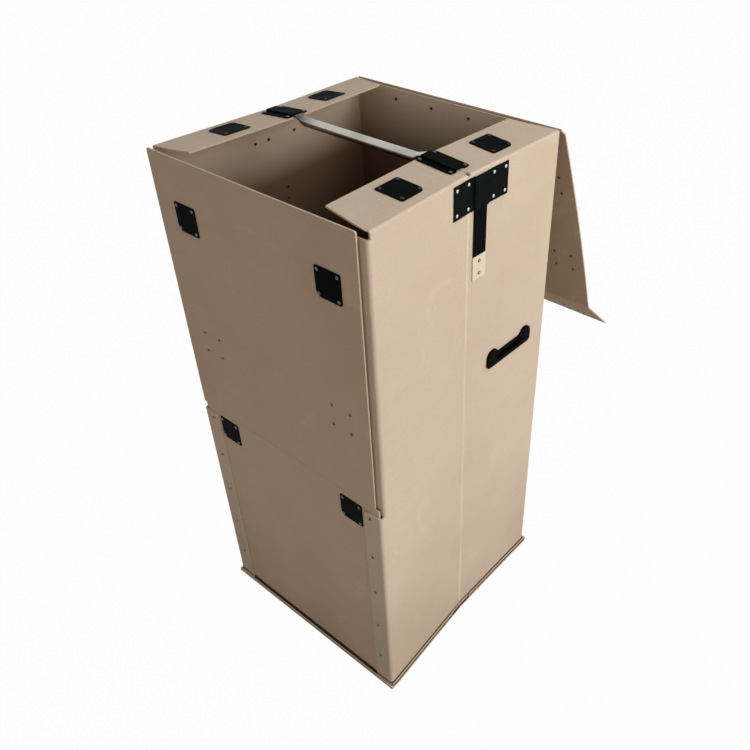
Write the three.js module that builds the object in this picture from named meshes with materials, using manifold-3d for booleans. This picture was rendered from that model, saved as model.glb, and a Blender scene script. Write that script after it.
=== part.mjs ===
// A folding wardrobe box of solid fibreboard, about 1.2 m tall: a wrap with a V crease in each side wall,
// a front door hinged at mid height, a long lid on the back, and a steel bar for clothes hangers.
// Millimetres, +Z up. The origin is the centre of the foot. The front faces -Y, the lid hangs behind at +Y.

import * as THREE from 'three';
import { mergeVertices } from 'three/addons/utils/BufferGeometryUtils.js';
import Module from 'manifold-3d';

const wasm = await Module();
wasm.setup();

// Driving dimensions of the box
const WIDTH = 540;
const DEPTH = 545;
const HEIGHT = 1200;
const BOARD = 3.5;
const GAP = 0.3;
const CORNER_RADIUS = 7;
const CREASE_DEPTH = 10;
const CREASE_Y = -8;
const SCORE_WIDTH = 5;
const SCORE_DEPTH = 0.8;

// Front ears, flanges, lower panel and door
const DOOR_FOLD_HEIGHT = 600;
const DOOR_LEFT_INSET = 1;
const DOOR_RIGHT_INSET = 17;
const DOOR_TOP_DROP = 1;
const DOOR_CORNER = 4;
const EAR_WIDTH = 118;
const EAR_TOP_DROP = 9;
const FLANGE_WIDTH = 46;
const FLANGE_DROP = 17;
const FLANGE_CORNER = 12;
const FLANGE_RIVETS = 5;
const FLANGE_RIVET_FROM_SIDE = 30;
const FLANGE_RIVET_MARGIN = 14;
const FLANGE_RIVET_FOOT = 104;
const PANEL_FOOT_GAP = 10;

// Top flaps
const FLAP_DEPTH = 100;
const FLAP_RISE_DEG = 5;
const FLAP_FOLD_RADIUS = 5;
const FLAP_SLOT = 1.6;
const FLAP_FRONT_INSET = 4;
const FLAP_BACK_INSET = 5;
const FLAP_FRONT_TAPER = 12;
const FLAP_BACK_TAPER = 32;
const RELIEF_RADIUS = 5;

// Base tray
const TRAY_LIP = 9;
const TRAY_FRONT_LIP = 4;
const TRAY_NOTCH = 70;
const TRAY_CLEARANCE = 1.2;
const TRAY_RIVET_NEAR = 75;
const TRAY_RIVET_FAR = 190;

// Fastener patches
const PATCH = 60;
const PATCH_ROUND = 13;
const PATCH_CORNER = 3;
const PLATE = 1.4;
const FLAP_PATCH_FROM_FOLD = 51;
const FLAP_PATCH_FROM_CREASE = 125;
const DOOR_PATCH_FROM_SIDE = 86;
const DOOR_PATCH_FROM_TOP = 119;
const EAR_PATCH_FROM_TOP = 406;
const PANEL_PATCH_FROM_SIDE = 83;
const PANEL_PATCH_FROM_FOLD = 45;

// Strap plate, strap and tab on each side wall
const STRAP_PLATE_LENGTH = 158;
const STRAP_PLATE_HEIGHT = 64;
const STRAP_PLATE_TOP_DROP = 3;
const STRAP_FROM_CREASE = 32;
const STRAP_WIDTH = 37;
const STRAP_THICK = 1.6;
const STRAP_TAIL = 96;
const STRAP_RIVET_NEAR = 36;
const STRAP_RIVET_FAR = 70;
const STRAP_RIVET_ROW = 23;
const TAB_WIDTH = 38;
const TAB_HEIGHT = 50;
const TAB_THICK = 1.8;
const TAB_RIVET_ROW = 13;
const CHANNEL_RISE = 2.4;

// Handle inserts
const HANDLE_WIDTH = 150;
const HANDLE_HEIGHT = 42;
const HANDLE_FROM_BACK = 134.5;
const HANDLE_Z = 760;
const HANDLE_SLOT = 96;
const HANDLE_SLOT_HEIGHT = 18;
const HANDLE_SLOT_DROP = 4;
const HANDLE_FLANGE = 5;
const HANDLE_WALL = 2;
const HANDLE_CORNER = 8;
const HANDLE_LOBE = 24;
const HANDLE_DIP = 13;
const HANDLE_BEND = 8;

// Hanger bar and its keepers
const BAR_DIAMETER = 19;
const BAR_DROP = 8;
const BAR_SIDES = 16;
const TONGUE_WIDTH = 22;
const TONGUE_THICK = 2.6;
const TONGUE_END_INSET = 6;
const CRANK_LENGTH = 20;
const KEEPER_LENGTH = 80;
const KEEPER_WIDTH = 54;
const KEEPER_PLATE = 1.8;
const KEEPER_FROM_FOLD = 59;
const KEEPER_RIVET_X = 34;
const KEEPER_RIVET_Y = 20.5;

// Lid: mounting strip, spine, long panel and front flap
const STRIP_HEIGHT = 42;
const STRIP_TOP_DROP = 6;
const STRIP_RIVET_PITCH = 100;
const STRIP_RIVET_MARGIN = 10;
const SPINE = 24;
const SPINE_CLOSED_DEG = 115;
const SPINE_LOW_DEG = -44;
const LID_FLAP = 160;
const LID_FLAP_PATCH = 126;
const LID_SIDE_INSET = 1;
const MITRE = 1.5;
const SPINE_REST_DEG = -38;
const LID_REST_DEG = -68;
const LID_FLAP_REST_DEG = -43;
const LID_BOW = 6;
const LID_BOW_STEPS = 8;

// Rivets: a low head outside, a shank through the boards and a rolled tail inside
const RIVET_HEAD = 6.6;
const RIVET_HEAD_HEIGHT = 1;
const RIVET_SHANK = 3.6;
const RIVET_HOLE = 4.2;
const RIVET_TAIL = 6;
const RIVET_TAIL_HEIGHT = 1;
const RIVET_SIDES = 6;
const PATCH_RIVET_PITCH = 46;

const halfWidth = WIDTH / 2;
const halfDepth = DEPTH / 2;
const standoff = 2 * PLATE + 3 * GAP;
const doorInner = -(halfDepth + standoff);
const doorOuter = doorInner - BOARD;
const flangeOuter = doorOuter - GAP - BOARD;
const wallFoot = BOARD + GAP;
const degrees = THREE.MathUtils.degToRad;
const flapRise = degrees(FLAP_RISE_DEG);

const mid = (first, second) => (first + second) / 2;
const material = (color, roughness, metalness = 0) =>
  new THREE.MeshStandardMaterial({ color, roughness, metalness });
const kraft = material(0xc9b296, 0.85);
const kraftPale = material(0xe0cfb4, 0.85);
const blackPlastic = material(0x17201f, 0.55);
const webbing = material(0x141617, 0.9);
const steel = material(0xc8ccd0, 0.25, 1);

const model = new THREE.Group();
model.name = 'wardrobe_box';

// Solids and geometries
function solid(geometry) {
  const plain = geometry.index ? geometry.toNonIndexed() : geometry.clone();
  plain.deleteAttribute('normal');
  plain.deleteAttribute('uv');
  const merged = mergeVertices(plain, 1e-4);
  const vertProperties = new Float32Array(merged.attributes.position.array);
  const triVerts = new Uint32Array(merged.index.array);
  return new wasm.Manifold(new wasm.Mesh({ numProp: 3, vertProperties, triVerts }));
}

function geometryOf(body) {
  const { vertProperties, triVerts, numProp } = body.getMesh();
  const positions = new Float32Array((vertProperties.length / numProp) * 3);
  for (let i = 0; i < positions.length / 3; i += 1) {
    positions.set(vertProperties.subarray(i * numProp, i * numProp + 3), i * 3);
  }
  const geometry = new THREE.BufferGeometry();
  geometry.setAttribute('position', new THREE.BufferAttribute(positions, 3));
  geometry.setIndex(new THREE.BufferAttribute(new Uint32Array(triVerts), 1));
  geometry.computeVertexNormals();
  return geometry;
}

const union = (bodies) => bodies.reduce((whole, next) => whole.add(next));
const cut = (body, tools) => tools.reduce((whole, tool) => whole.subtract(tool), body);

function addPiece(name, body, finish, parent = model) {
  const mesh = new THREE.Mesh(geometryOf(body), finish);
  mesh.name = name;
  parent.add(mesh);
  return mesh;
}

// A prism of a shape in XY, moved by a matrix
function prism(shape, depth, matrix = new THREE.Matrix4(), curveSegments = 3) {
  const geometry = new THREE.ExtrudeGeometry(shape, { depth, bevelEnabled: false, curveSegments });
  return solid(geometry.applyMatrix4(matrix));
}

// The matrix of a frame with its own X, Y and Z directions and its origin
function frameAt(origin, xAxis, yAxis) {
  const zAxis = new THREE.Vector3().crossVectors(xAxis, yAxis);
  return new THREE.Matrix4().makeBasis(xAxis, yAxis, zAxis).setPosition(origin);
}

const vec = (x, y, z) => new THREE.Vector3(x, y, z);
const block = (x0, x1, y0, y1, z0, z1) =>
  solid(new THREE.BoxGeometry(x1 - x0, y1 - y0, z1 - z0)
    .translate((x0 + x1) / 2, (y0 + y1) / 2, (z0 + z1) / 2));

function polygon(points) {
  return new THREE.Shape(points.map(([x, y]) => new THREE.Vector2(x, y)));
}

function roundedRectangle(width, height, radius) {
  const shape = new THREE.Shape();
  const x = width / 2;
  const y = height / 2;
  shape.moveTo(-x + radius, -y);
  shape.lineTo(x - radius, -y);
  shape.absarc(x - radius, -y + radius, radius, -Math.PI / 2, 0);
  shape.lineTo(x, y - radius);
  shape.absarc(x - radius, y - radius, radius, 0, Math.PI / 2);
  shape.lineTo(-x + radius, y);
  shape.absarc(-x + radius, y - radius, radius, Math.PI / 2, Math.PI);
  shape.lineTo(-x, -y + radius);
  shape.absarc(-x + radius, -y + radius, radius, Math.PI, Math.PI * 1.5);
  return shape;
}

// Frames of the front, of a side wall's half and of the top flap on it.
// side is -1 on the left and 1 on the right, end is -1 at the front and 1 at the back.
const frontFrame = (x, z, y) => frameAt(vec(x, y, z), vec(1, 0, 0), vec(0, 0, 1));

const wallRun = (end) => halfDepth - CORNER_RADIUS - end * CREASE_Y;
const wallTilt = (end) => Math.atan2(CREASE_DEPTH, wallRun(end));

function wallOuter(y) {
  const end = y < CREASE_Y ? -1 : 1;
  return halfWidth - CREASE_DEPTH * (1 - Math.min(Math.abs(y - CREASE_Y) / wallRun(end), 1));
}

// A frame on the outer face of a half wall: X runs along the wall towards the back, Y up, Z outwards
function wallFrame(side, end, y, z, out = 0) {
  const tilt = wallTilt(end);
  const along = vec(side * end * Math.sin(tilt), Math.cos(tilt), 0);
  const outward = vec(side * Math.cos(tilt), -end * Math.sin(tilt), 0);
  const origin = vec(side * wallOuter(y), y, z).addScaledVector(outward, out);
  const xAxis = side > 0 ? along : along.clone().negate();
  return frameAt(origin, xAxis, vec(0, 0, 1));
}

// A frame on the upper face of a half flap: X runs inwards up the slope, Y along the wall, Z up
function flapFrame(side, end, fromFold, y, lift = 0) {
  const tilt = wallTilt(end);
  const along = vec(side * end * Math.sin(tilt), Math.cos(tilt), 0);
  const inward = vec(-side * Math.cos(tilt), end * Math.sin(tilt), 0);
  const slope = inward.clone().multiplyScalar(Math.cos(flapRise)).add(vec(0, 0, Math.sin(flapRise)));
  const normal = inward.clone().multiplyScalar(-Math.sin(flapRise)).add(vec(0, 0, Math.cos(flapRise)));
  const origin = vec(side * wallOuter(y), y, HEIGHT)
    .addScaledVector(inward, FLAP_FOLD_RADIUS)
    .addScaledVector(slope, fromFold - FLAP_FOLD_RADIUS)
    .addScaledVector(normal, lift);
  const yAxis = side > 0 ? along.clone().negate() : along;
  return frameAt(origin, slope, yAxis);
}

// One side wall's outer or inner line in plan, from the front corner to the back one or the other way
function wallLine(side, frontOuter, inset) {
  const x = halfWidth - inset;
  const straight = frontOuter < -halfDepth ? [[side * x, -halfDepth + CORNER_RADIUS]] : [];
  return [[side * x, frontOuter + CORNER_RADIUS], ...straight,
    [side * (x - CREASE_DEPTH), CREASE_Y], [side * x, halfDepth - CORNER_RADIUS]];
}

// The plan outline of the wrap: a band of board with the front edge at a given depth
function wrapPlan(frontOuter, earWidth) {
  const r = CORNER_RADIUS;
  const inner = r - BOARD;
  const shape = new THREE.Shape();
  const follow = (points) => points.forEach(([a, b]) => shape.lineTo(a, b));
  const x = halfWidth;
  const back = halfDepth;
  shape.moveTo(x - earWidth, frontOuter);
  shape.lineTo(x - r, frontOuter);
  shape.absarc(x - r, frontOuter + r, r, -Math.PI / 2, 0);
  follow(wallLine(1, frontOuter, 0).slice(1, -1));
  shape.lineTo(x, back - r);
  shape.absarc(x - r, back - r, r, 0, Math.PI / 2);
  shape.lineTo(-x + r, back);
  shape.absarc(-x + r, back - r, r, Math.PI / 2, Math.PI);
  follow(wallLine(-1, frontOuter, 0).reverse().slice(1, -1));
  shape.lineTo(-x, frontOuter + r);
  shape.absarc(-x + r, frontOuter + r, r, Math.PI, Math.PI * 1.5);
  shape.lineTo(-x + earWidth, frontOuter);
  shape.lineTo(-x + earWidth, frontOuter + BOARD);
  shape.lineTo(-x + r, frontOuter + BOARD);
  shape.absarc(-x + r, frontOuter + r, inner, Math.PI * 1.5, Math.PI, true);
  follow(wallLine(-1, frontOuter, BOARD).slice(1, -1));
  shape.lineTo(-x + BOARD, back - r);
  shape.absarc(-x + r, back - r, inner, Math.PI, Math.PI / 2, true);
  shape.lineTo(x - r, back - BOARD);
  shape.absarc(x - r, back - r, inner, Math.PI / 2, 0, true);
  follow(wallLine(1, frontOuter, BOARD).reverse().slice(1, -1));
  shape.lineTo(x - BOARD, frontOuter + r);
  shape.absarc(x - r, frontOuter + r, inner, 0, -Math.PI / 2, true);
  shape.lineTo(x - earWidth, frontOuter + BOARD);
  return shape;
}

// One half flap: the fold's arc and the sprung board, trimmed to its tapered outline
function halfFlap(side, end) {
  const r = FLAP_FOLD_RADIUS;
  const section = new THREE.Shape();
  const turn = Math.PI / 2 + flapRise;
  const reach = FLAP_DEPTH - r;
  const tip = (radius, sideways) => [
    r + radius * Math.cos(turn) * -1 + sideways * Math.cos(flapRise),
    -r + radius * Math.sin(turn) + sideways * Math.sin(flapRise),
  ];
  section.moveTo(0, -r - BOARD);
  section.lineTo(0, -r);
  section.absarc(r, -r, r, Math.PI, Math.PI - turn, true);
  section.lineTo(...tip(r, reach));
  section.lineTo(...tip(r - BOARD, reach));
  section.absarc(r, -r, r - BOARD, Math.PI - turn, Math.PI, false);
  section.lineTo(BOARD, -r - BOARD);
  const length = halfDepth + CORNER_RADIUS;
  const tilt = wallTilt(end);
  const inward = vec(-side * Math.cos(tilt), end * Math.sin(tilt), 0);
  const frame = frameAt(vec(side * wallOuter(CREASE_Y), CREASE_Y, HEIGHT), inward, vec(0, 0, 1));
  const slide = new THREE.Matrix4().makeTranslation(0, 0, -length);
  const band = prism(section, 2 * length, frame.multiply(slide), 5);
  const inset = end < 0 ? FLAP_FRONT_INSET : FLAP_BACK_INSET;
  const taper = end < 0 ? FLAP_FRONT_TAPER : FLAP_BACK_TAPER;
  const outline = polygon([
    [side * (halfWidth + BOARD), CREASE_Y + end * FLAP_SLOT / 2],
    [side * (halfWidth + BOARD), end * (halfDepth - inset)],
    [side * (halfWidth - r), end * (halfDepth - inset)],
    [side * (halfWidth - FLAP_DEPTH - CREASE_DEPTH), end * (halfDepth - inset - taper)],
    [side * (halfWidth - FLAP_DEPTH - 3 * CREASE_DEPTH), end * (halfDepth - inset - taper)],
    [side * (halfWidth - FLAP_DEPTH - 3 * CREASE_DEPTH), CREASE_Y + end * FLAP_SLOT / 2],
  ]);
  const rise = new THREE.Matrix4().makeTranslation(0, 0, HEIGHT - 3 * r);
  return band.intersect(prism(outline, 8 * r, rise));
}

const handleY = halfDepth - HANDLE_FROM_BACK;
const slotZ = HANDLE_Z - HANDLE_SLOT_DROP;

// The wrap: walls, ears, flanges and flaps of one folded sheet
function bodyWrap() {
  const lift = (z) => new THREE.Matrix4().makeTranslation(0, 0, z);
  const shoulder = DOOR_FOLD_HEIGHT - FLANGE_DROP;
  const rim = HEIGHT - FLAP_FOLD_RADIUS;
  const upper = prism(wrapPlan(-halfDepth, EAR_WIDTH), rim - shoulder, lift(shoulder));
  const lower = prism(wrapPlan(flangeOuter, FLANGE_WIDTH), shoulder - wallFoot, lift(wallFoot));
  const flaps = [];
  const trims = [];
  for (const side of [-1, 1]) {
    for (const end of [-1, 1]) flaps.push(halfFlap(side, end));
    const earX = side * (halfWidth - EAR_WIDTH / 2);
    const earHalf = EAR_WIDTH / 2 + 2 * BOARD;
    trims.push(block(earX - earHalf, earX + earHalf, -halfDepth - BOARD, -halfDepth + CORNER_RADIUS,
      HEIGHT - FLAP_FOLD_RADIUS - EAR_TOP_DROP, HEIGHT));
    const relief = new THREE.CylinderGeometry(RELIEF_RADIUS, RELIEF_RADIUS, 6 * BOARD, 8);
    trims.push(solid(relief.rotateZ(Math.PI / 2).translate(side * wallOuter(CREASE_Y), CREASE_Y, HEIGHT)));
    trims.push(prism(roundedRectangle(HANDLE_SLOT, HANDLE_SLOT_HEIGHT, HANDLE_SLOT_HEIGHT / 2 - GAP),
      8 * BOARD, wallFrame(side, 1, handleY, slotZ, -4 * BOARD), 3));
    const score = polygon([[-SCORE_WIDTH, SCORE_DEPTH], [0, -SCORE_DEPTH], [SCORE_WIDTH, SCORE_DEPTH]]
      .map(([a, b]) => [side * (wallOuter(CREASE_Y) + b), CREASE_Y + a]));
    trims.push(prism(score, rim - wallFoot, lift(wallFoot)));
    const corner = roundedRectangle(4 * FLANGE_CORNER, 4 * FLANGE_CORNER, FLANGE_CORNER);
    const flangeEnd = side * (halfWidth - FLANGE_WIDTH);
    const nook = block(-FLANGE_CORNER, FLANGE_CORNER, -BOARD, BOARD, -FLANGE_CORNER, FLANGE_CORNER)
      .translate([flangeEnd, flangeOuter + BOARD / 2, shoulder]);
    const round = prism(corner, 4 * BOARD, frontFrame(
      flangeEnd + side * 2 * FLANGE_CORNER, shoulder - 2 * FLANGE_CORNER, flangeOuter + 3 * BOARD));
    trims.push(nook.subtract(round));
  }
  return cut(union([upper, lower, ...flaps]), trims);
}

// Rivets. A place is a frame on the outermost face, its Z outwards; stack is the depth to the far face.
const holes = {};

function rivet(place, stack, flush = false) {
  const tail = -(stack + GAP);
  const head = flush ? [] : [[RIVET_HEAD / 2, -GAP], [RIVET_HEAD / 3, RIVET_HEAD_HEIGHT]];
  const top = flush ? -GAP : RIVET_HEAD_HEIGHT;
  const profile = [[0, tail - RIVET_TAIL_HEIGHT], [RIVET_TAIL / 2, tail - RIVET_TAIL_HEIGHT],
    [RIVET_SHANK / 2, tail], [RIVET_SHANK / 2, -GAP], ...head, [0, top]];
  const points = profile.map(([radius, z]) => new THREE.Vector2(radius, z));
  const lathe = new THREE.LatheGeometry(points, RIVET_SIDES).rotateX(Math.PI / 2);
  return solid(lathe).transform(place.toArray());
}

// Fuses rivets to a plate and notes their holes in the board behind it
function riveted(plate, board, places, stack, flush = false) {
  holes[board] ??= [];
  for (const place of places) {
    const pin = new THREE.CylinderGeometry(RIVET_HOLE / 2, RIVET_HOLE / 2, stack + 2 * GAP, RIVET_SIDES);
    const bore = pin.rotateX(Math.PI / 2).translate(0, 0, -(stack + 2 * GAP) / 2);
    holes[board].push(solid(bore).transform(place.toArray()));
  }
  return union([plate, ...places.map((place) => rivet(place, stack, flush))]);
}

const shifted = (frame, x, y, z) =>
  frame.clone().multiply(new THREE.Matrix4().makeTranslation(x, y, z));

function fourCorners(frame, x, y, z) {
  return [[-x, -y], [x, -y], [x, y], [-x, y]].map(([a, b]) => shifted(frame, a, b, z));
}

// A fastener patch: a thin plate, one corner well rounded, riveted near its corners
function patchShape() {
  const half = PATCH / 2;
  const shape = new THREE.Shape();
  shape.moveTo(-half + PATCH_ROUND, -half);
  shape.lineTo(half - PATCH_CORNER, -half);
  shape.lineTo(half, -half + PATCH_CORNER);
  shape.lineTo(half, half - PATCH_CORNER);
  shape.lineTo(half - PATCH_CORNER, half);
  shape.lineTo(-half + PATCH_CORNER, half);
  shape.lineTo(-half, half - PATCH_CORNER);
  shape.lineTo(-half, -half + PATCH_ROUND);
  shape.absarc(-half + PATCH_ROUND, -half + PATCH_ROUND, PATCH_ROUND, Math.PI, Math.PI * 1.5);
  return shape;
}

function addPatch(name, frame, board, parent = model, flush = false) {
  const plate = prism(patchShape(), PLATE, frame);
  const places = fourCorners(frame, PATCH_RIVET_PITCH / 2, PATCH_RIVET_PITCH / 2, PLATE);
  addPiece(name, riveted(plate, board, places, PLATE + GAP + BOARD, flush), blackPlastic, parent);
}

const doorPatchX = halfWidth - DOOR_PATCH_FROM_SIDE;
const doorPatchZ = HEIGHT - DOOR_PATCH_FROM_TOP;
const earPatchZ = HEIGHT - EAR_PATCH_FROM_TOP;
const panelPatchZ = DOOR_FOLD_HEIGHT - PANEL_PATCH_FROM_FOLD;
for (const side of [-1, 1]) {
  const hand = side < 0 ? 'left' : 'right';
  for (const end of [-1, 1]) {
    const y = CREASE_Y + end * FLAP_PATCH_FROM_CREASE;
    addPatch(`flap_patch_${end < 0 ? 'front' : 'back'}_${hand}`,
      flapFrame(side, end, FLAP_PATCH_FROM_FOLD, y, GAP), 'body_wrap');
  }
  addPatch(`lower_panel_patch_${hand}`,
    frontFrame(side * (halfWidth - PANEL_PATCH_FROM_SIDE), panelPatchZ, doorOuter - GAP), 'front_lower_panel');
  addPatch(`ear_patch_${hand}`,
    frontFrame(side * doorPatchX, earPatchZ, -halfDepth - GAP), 'body_wrap', model, true);
}

// The lower front panel, riveted behind the flanges
const panelHalf = halfWidth - BOARD - GAP - (CORNER_RADIUS - BOARD);
const flangeTopRivet = DOOR_FOLD_HEIGHT - FLANGE_DROP - FLANGE_RIVET_MARGIN;
const flangeRivets = [];
for (const side of [-1, 1]) {
  for (let k = 0; k < FLANGE_RIVETS; k += 1) {
    const z = THREE.MathUtils.lerp(FLANGE_RIVET_FOOT, flangeTopRivet, k / (FLANGE_RIVETS - 1));
    flangeRivets.push(frontFrame(side * (halfWidth - FLANGE_RIVET_FROM_SIDE), z, flangeOuter));
  }
}

function flangedRivet(place) {
  const reach = 2 * BOARD + GAP;
  const shank = new THREE.CylinderGeometry(RIVET_SHANK / 2, RIVET_SHANK / 2, reach, RIVET_SIDES)
    .rotateX(Math.PI / 2).translate(0, 0, -reach / 2 + GAP);
  const head = new THREE.CylinderGeometry(RIVET_HEAD / 3, RIVET_HEAD / 2, RIVET_HEAD_HEIGHT, RIVET_SIDES)
    .rotateX(Math.PI / 2).translate(0, 0, GAP + RIVET_HEAD_HEIGHT / 2);
  return solid(shank).add(solid(head)).transform(place.toArray());
}

holes.body_wrap.push(...flangeRivets.map((place) => solid(
  new THREE.CylinderGeometry(RIVET_HOLE / 2, RIVET_HOLE / 2, 2 * BOARD, RIVET_SIDES).rotateX(Math.PI / 2))
  .transform(place.toArray())));
const lowerPanel = block(-panelHalf, panelHalf, doorOuter, doorInner,
  wallFoot + PANEL_FOOT_GAP, DOOR_FOLD_HEIGHT - GAP);
addPiece('front_lower_panel',
  union([cut(lowerPanel, holes.front_lower_panel), ...flangeRivets.map(flangedRivet)]), kraft);

// The base tray: a sheet with low lips folded up round the walls, notched at the creases
function trayPlan(inset) {
  const out = BOARD + TRAY_CLEARANCE - inset;
  const front = flangeOuter - BOARD - GAP + inset;
  const back = halfDepth + out;
  const x = halfWidth + out;
  const near = -halfDepth + CORNER_RADIUS;
  const far = halfDepth - CORNER_RADIUS;
  const right = [[x, front], [x, near], [x - CREASE_DEPTH, CREASE_Y], [x, far], [x, back]];
  return polygon([...right, ...right.map(([a, b]) => [-a, b]).reverse()]);
}

function baseTray() {
  const top = wallFoot + TRAY_LIP;
  const floor = new THREE.Matrix4().makeTranslation(0, 0, BOARD);
  const reach = halfWidth + 4 * BOARD;
  const front = flangeOuter - 4 * BOARD;
  const lowFront = block(-reach, reach, front, flangeOuter + BOARD, wallFoot + TRAY_FRONT_LIP, 2 * top);
  const notch = block(-reach, reach, CREASE_Y - TRAY_NOTCH / 2, CREASE_Y + TRAY_NOTCH / 2, BOARD, 2 * top);
  const tray = cut(prism(trayPlan(0), top), [prism(trayPlan(BOARD), top, floor), lowFront, notch]);
  const places = [];
  for (const side of [-1, 1]) {
    for (const end of [-1, 1]) {
      for (const away of [TRAY_RIVET_NEAR, TRAY_RIVET_FAR]) {
        places.push(wallFrame(side, end, CREASE_Y + end * away, mid(wallFoot, top), TRAY_CLEARANCE + BOARD));
      }
    }
  }
  return riveted(tray, 'body_wrap', places, 2 * BOARD + TRAY_CLEARANCE);
}

addPiece('base_tray', baseTray(), kraftPale);

// The strap plate follows the crease of the wall, with a raised channel for the strap
function wallBand(side, y0, y1, z0, z1, from, to) {
  const stops = [y0, ...(y0 < CREASE_Y && y1 > CREASE_Y ? [CREASE_Y] : []), y1];
  const outer = stops.map((y) => [side * (wallOuter(y) + to), y]);
  const inner = stops.map((y) => [side * (wallOuter(y) + from), y]).reverse();
  return prism(polygon([...outer, ...inner]), z1 - z0, new THREE.Matrix4().makeTranslation(0, 0, z0));
}

const strapY = CREASE_Y + STRAP_FROM_CREASE;
const plateTop = HEIGHT - FLAP_FOLD_RADIUS - STRAP_PLATE_TOP_DROP;
const plateFoot = plateTop - STRAP_PLATE_HEIGHT;
const strapOut = GAP + STRAP_THICK;
const strapLow = plateFoot - STRAP_TAIL;
const tabFoot = strapLow - GAP - TAB_HEIGHT;

function strapPlate(side) {
  const y0 = strapY - STRAP_PLATE_LENGTH / 2;
  const y1 = strapY + STRAP_PLATE_LENGTH / 2;
  const channel = STRAP_WIDTH / 2 + GAP;
  const lip = channel + PLATE;
  const flat = wallBand(side, y0, y1, plateFoot, plateTop, GAP, GAP + PLATE);
  const hump = wallBand(side, strapY - lip, strapY + lip, plateFoot, plateTop,
    GAP, strapOut + GAP + CHANNEL_RISE);
  const bore = wallBand(side, strapY - channel, strapY + channel, plateFoot - BOARD, plateTop + BOARD,
    -GAP, strapOut + GAP);
  const places = [];
  for (const away of [-STRAP_RIVET_FAR, -STRAP_RIVET_NEAR, STRAP_RIVET_NEAR, STRAP_RIVET_FAR]) {
    const y = strapY + away;
    for (const row of [-STRAP_RIVET_ROW, STRAP_RIVET_ROW]) {
      places.push(wallFrame(side, y < CREASE_Y ? -1 : 1, y, mid(plateFoot, plateTop) + row, GAP + PLATE));
    }
  }
  return riveted(flat.add(hump).subtract(bore), 'body_wrap', places, PLATE + GAP + BOARD);
}

function strapTab(side) {
  const board = wallBand(side, strapY - TAB_WIDTH / 2, strapY + TAB_WIDTH / 2, tabFoot, tabFoot + TAB_HEIGHT,
    GAP, GAP + TAB_THICK);
  const places = [-TAB_RIVET_ROW, TAB_RIVET_ROW].map((row) =>
    wallFrame(side, 1, strapY, tabFoot + TAB_HEIGHT / 2 + row, GAP + TAB_THICK));
  return riveted(board, 'body_wrap', places, TAB_THICK + GAP + BOARD);
}

for (const side of [-1, 1]) {
  const hand = side < 0 ? 'left' : 'right';
  addPiece(`strap_plate_${hand}`, strapPlate(side), blackPlastic);
  addPiece(`strap_${hand}`, wallBand(side, strapY - STRAP_WIDTH / 2, strapY + STRAP_WIDTH / 2,
    strapLow, plateTop - PLATE, GAP, strapOut), webbing);
  addPiece(`strap_tab_${hand}`, strapTab(side), kraftPale);
}

// The handle insert: a flanged frame through the hand hole, with two raised end lobes
function handle(side) {
  const x = HANDLE_WIDTH / 2;
  const y = HANDLE_HEIGHT / 2;
  const r = HANDLE_CORNER;
  const lobe = x - HANDLE_LOBE;
  const bend = HANDLE_BEND;
  const face = new THREE.Shape();
  face.moveTo(-x + r, -y);
  face.lineTo(x - r, -y);
  face.absarc(x - r, -y + r, r, -Math.PI / 2, 0);
  face.lineTo(x, y - 2 * r);
  face.absarc(x - 2 * r, y - 2 * r, 2 * r, 0, Math.PI / 2);
  face.lineTo(lobe, y);
  face.bezierCurveTo(lobe - bend, y, lobe - bend, y - HANDLE_DIP, lobe - 2 * bend, y - HANDLE_DIP);
  face.lineTo(-lobe + 2 * bend, y - HANDLE_DIP);
  face.bezierCurveTo(-lobe + bend, y - HANDLE_DIP, -lobe + bend, y, -lobe, y);
  face.lineTo(-x + 2 * r, y);
  face.absarc(-x + 2 * r, y - 2 * r, 2 * r, Math.PI / 2, Math.PI);
  face.lineTo(-x, -y + r);
  face.absarc(-x + r, -y + r, r, Math.PI, Math.PI * 1.5);
  const neckWidth = HANDLE_SLOT - 2 * GAP;
  const neckHeight = HANDLE_SLOT_HEIGHT - 2 * GAP;
  const neck = roundedRectangle(neckWidth, neckHeight, neckHeight / 2 - GAP);
  const bore = roundedRectangle(neckWidth - 2 * HANDLE_WALL, neckHeight - 2 * HANDLE_WALL,
    neckHeight / 2 - HANDLE_WALL - GAP);
  const at = (z, out) => wallFrame(side, 1, handleY, z, out);
  const flange = prism(face, HANDLE_FLANGE, at(HANDLE_Z, GAP), 3);
  const sleeve = prism(neck, 2 * BOARD + HANDLE_FLANGE, at(slotZ, -2 * BOARD), 3);
  const hole = prism(bore, 10 * BOARD, at(slotZ, -5 * BOARD), 3);
  return flange.add(sleeve).subtract(hole);
}

addPiece('handle_left', handle(-1), blackPlastic);
addPiece('handle_right', handle(1), blackPlastic);

// The bar keeper: a plate across the flap slot with a raised channel for the bar's tongue
const flapTop = (fromFold) => HEIGHT + (fromFold - FLAP_FOLD_RADIUS) * Math.sin(flapRise);
const keeperX = halfWidth - CREASE_DEPTH - KEEPER_FROM_FOLD;
const keeperLift = 2 * GAP;

function keeperFrame(side, lift = 0) {
  const slope = vec(-side * Math.cos(flapRise), 0, Math.sin(flapRise));
  const origin = vec(side * keeperX, CREASE_Y, flapTop(KEEPER_FROM_FOLD)).add(
    vec(side * Math.sin(flapRise), 0, Math.cos(flapRise)).multiplyScalar(lift));
  return frameAt(origin, slope, vec(0, -side, 0));
}

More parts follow.
